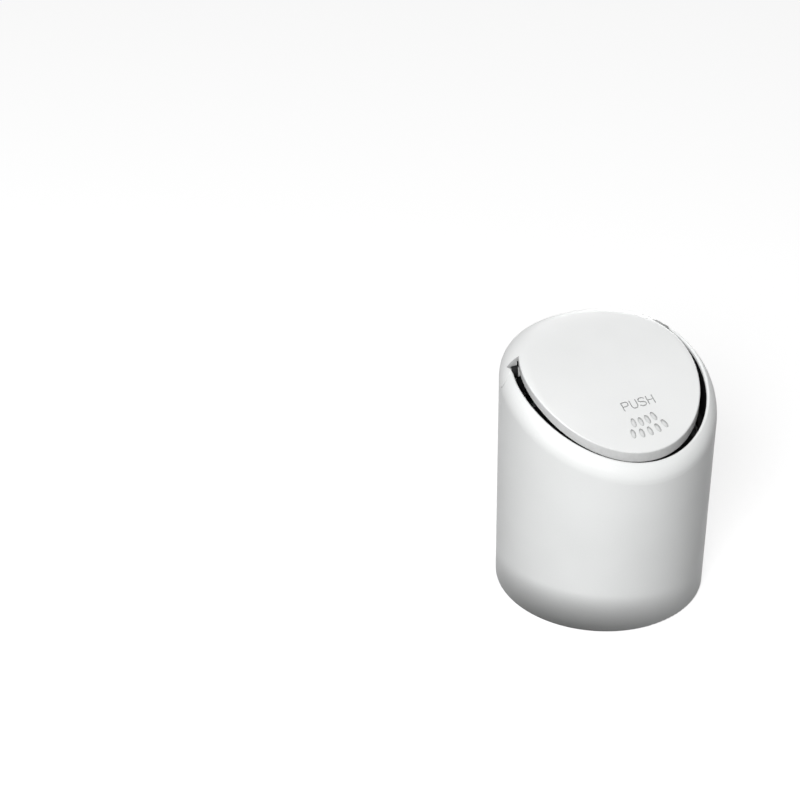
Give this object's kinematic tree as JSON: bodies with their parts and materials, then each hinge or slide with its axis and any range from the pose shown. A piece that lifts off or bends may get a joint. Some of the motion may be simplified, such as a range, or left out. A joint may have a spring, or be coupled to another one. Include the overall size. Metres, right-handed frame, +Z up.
{
  "type": "car trash can",
  "caption": "Small round car bin with a crowned slanting top and a sprung push lid; a shell lifts off a base with an inner bucket and bag ring.",
  "frame": {"origin": "on the floor, at the middle of the round base", "axes": "+Z up, the low front of the lid towards -Y, +X to the right as seen from the front"},
  "size_m": [0.0936, 0.0934, 0.113],
  "materials": {
    "shell": "satin, silver-white",
    "lid": "satin, silver-white",
    "frame": "matt black",
    "bucket": "matt dark grey",
    "rubber": "soft matt black",
    "screws": "plain steel",
    "pins": "ground steel",
    "springs": "drawn spring wire"
  },
  "bodies": {
    "base": {"base_plate": "frame", "base_pad": "rubber", "grip_ring": "rubber", "inner_bucket": "bucket"},
    "bag_ring": {"bag_ring": "bucket"},
    "shell": {"outer_shell": "shell", "mouth_frame": "frame", "frame_screws": "screws", "stop_pad_left": "rubber", "stop_pad_right": "rubber"},
    "lid": {"lid_panel": "lid", "lid_inner": "frame", "lid_screws": "screws", "hinge_pin_left": "pins", "hinge_pin_right": "pins", "lid_spring_left": "springs", "lid_spring_right": "springs"}
  },
  "joints": [
    {"name": "bag_ring_lift", "type": "slide", "parent": "base", "child": "bag_ring", "axis": [0, 0, 1], "range_m": [0, 0.005]},
    {"name": "shell_lift", "type": "slide", "parent": "base", "child": "shell", "axis": [0, 0, 1], "range_m": [0, 0.08]},
    {"name": "lid_rock", "type": "hinge", "parent": "shell", "child": "lid", "pos_m": [0, 0.018, 0.10418], "axis": [1, 0, 0], "range_deg": [0, 45], "stiffness_Nm_per_rad": 0.03, "springref_deg": -45.84, "deforming": ["lid_spring_left", "lid_spring_right"]}
  ]
}
